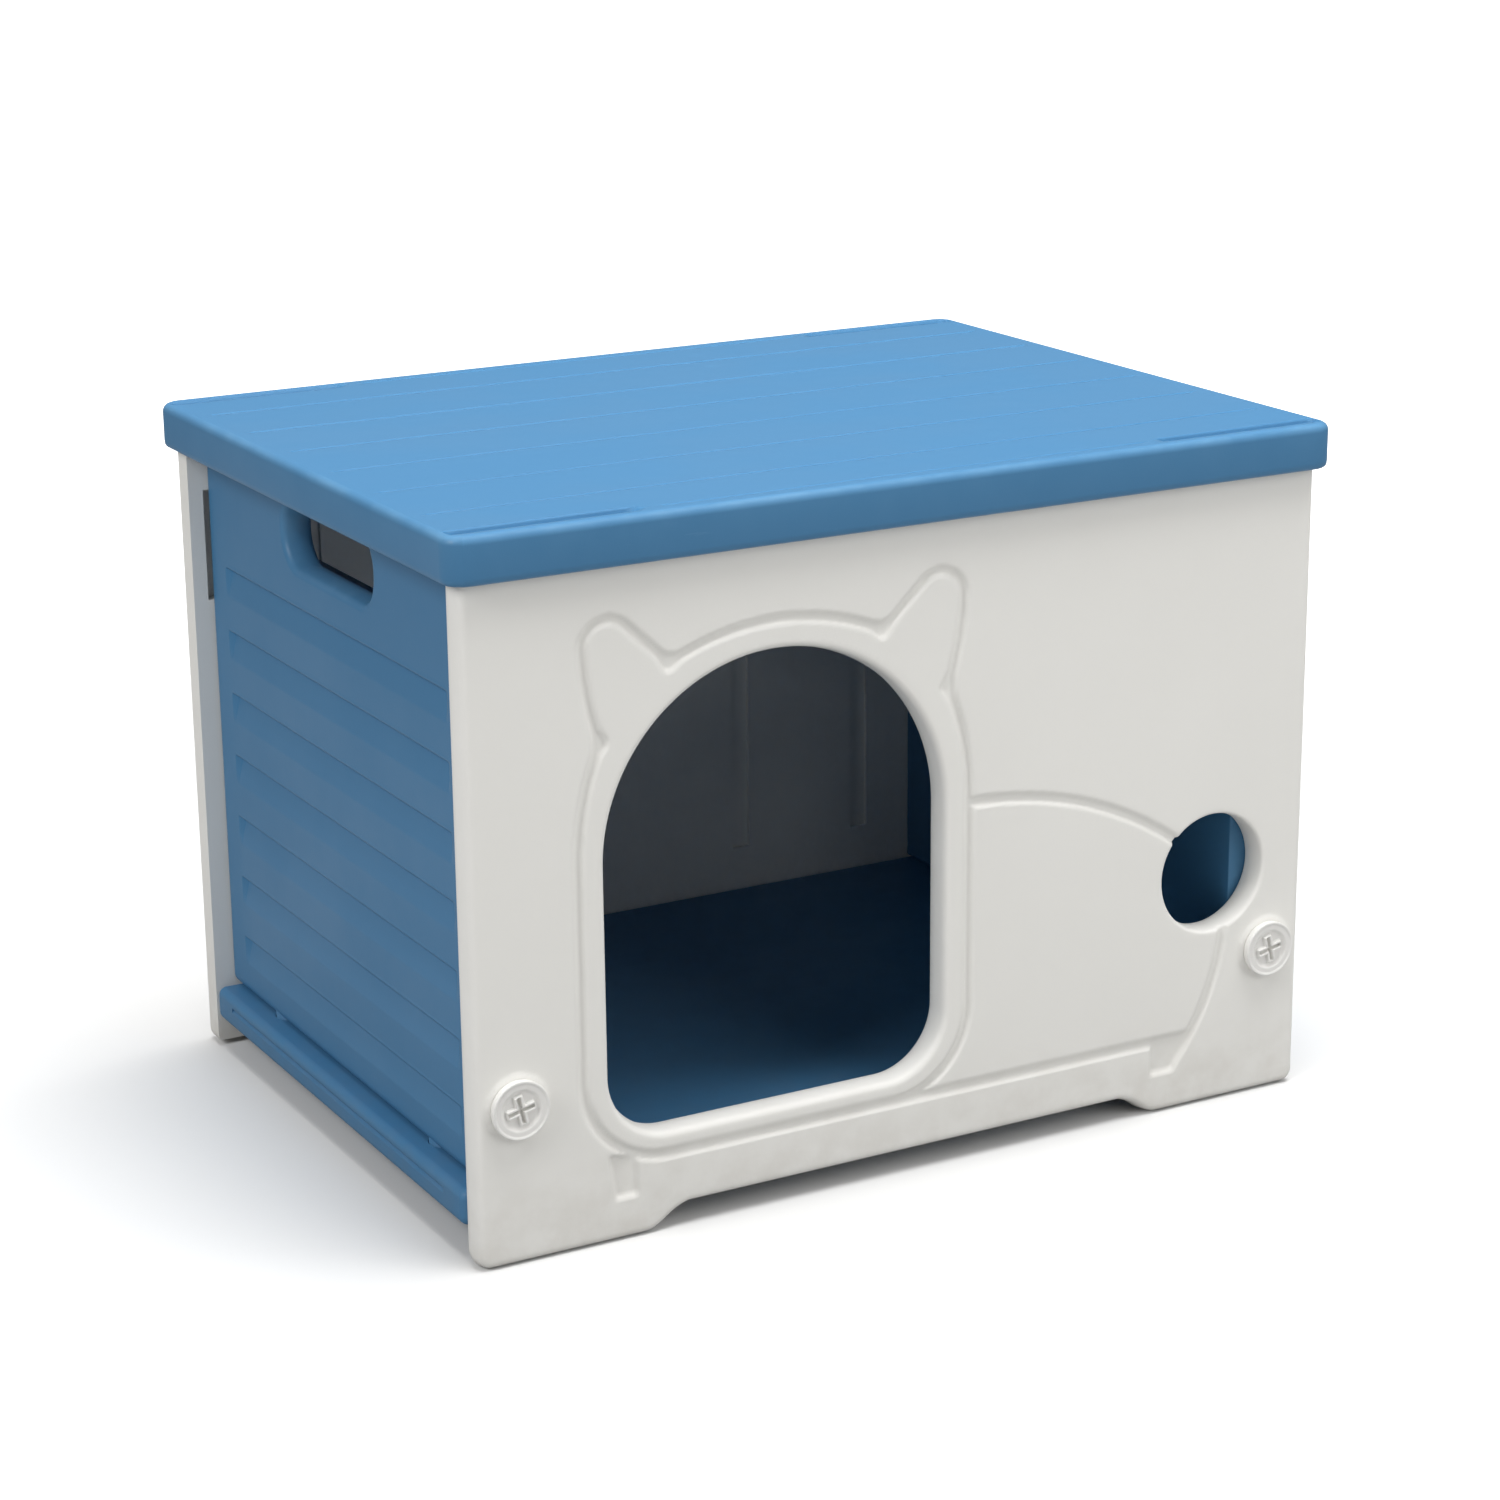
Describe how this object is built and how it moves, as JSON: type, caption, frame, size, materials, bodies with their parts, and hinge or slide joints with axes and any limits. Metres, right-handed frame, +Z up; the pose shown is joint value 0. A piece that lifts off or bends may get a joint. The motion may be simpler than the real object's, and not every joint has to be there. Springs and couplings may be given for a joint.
{
  "type": "pet house",
  "caption": "Flat-pack moulded plastic pet house: panels with a cat-shaped doorway outline, clapboard sides with hand slots, a lift-off stacking lid and large plastic screws.",
  "frame": {"origin": "middle of the footprint on the ground, under the middle of the lid", "axes": "+X to the right seen from the front, along the longest side; -Y out of the doorway; +Z up"},
  "size_m": [0.616, 0.4652, 0.4488],
  "materials": {
    "white_panel": "off-white moulded plastic, satin",
    "blue_panel": "mid-blue moulded plastic, satin",
    "screw_plastic": "off-white injection-moulded plastic, satin"
  },
  "bodies": {
    "house": {"front_panel": "white_panel", "back_panel": "white_panel", "left_side_panel": "blue_panel", "right_side_panel": "blue_panel", "floor_panel": "blue_panel"},
    "lid_body": {"lid": "blue_panel"},
    "front_left_screw_body": {"front_left_screw": "screw_plastic"},
    "front_right_screw_body": {"front_right_screw": "screw_plastic"},
    "back_left_screw_body": {"back_left_screw": "screw_plastic"},
    "back_right_screw_body": {"back_right_screw": "screw_plastic"}
  },
  "joints": [
    {"name": "lid_lift", "type": "slide", "parent": "house", "child": "lid_body", "axis": [0, 0, 1], "range_m": [0, 0.15]},
    {"name": "front_left_screw_turn", "type": "hinge", "parent": "house", "child": "front_left_screw_body", "pos_m": [-0.272, -0.223, 0.1005], "axis": [0, -1, 0], "range_deg": [0, 1680]},
    {"name": "front_right_screw_turn", "type": "hinge", "parent": "house", "child": "front_right_screw_body", "pos_m": [0.272, -0.223, 0.1005], "axis": [0, -1, 0], "range_deg": [0, 1680]},
    {"name": "back_left_screw_turn", "type": "hinge", "parent": "house", "child": "back_left_screw_body", "pos_m": [-0.272, 0.223, 0.1005], "axis": [0, 1, 0], "range_deg": [0, 1680]},
    {"name": "back_right_screw_turn", "type": "hinge", "parent": "house", "child": "back_right_screw_body", "pos_m": [0.272, 0.223, 0.1005], "axis": [0, 1, 0], "range_deg": [0, 1680]}
  ]
}
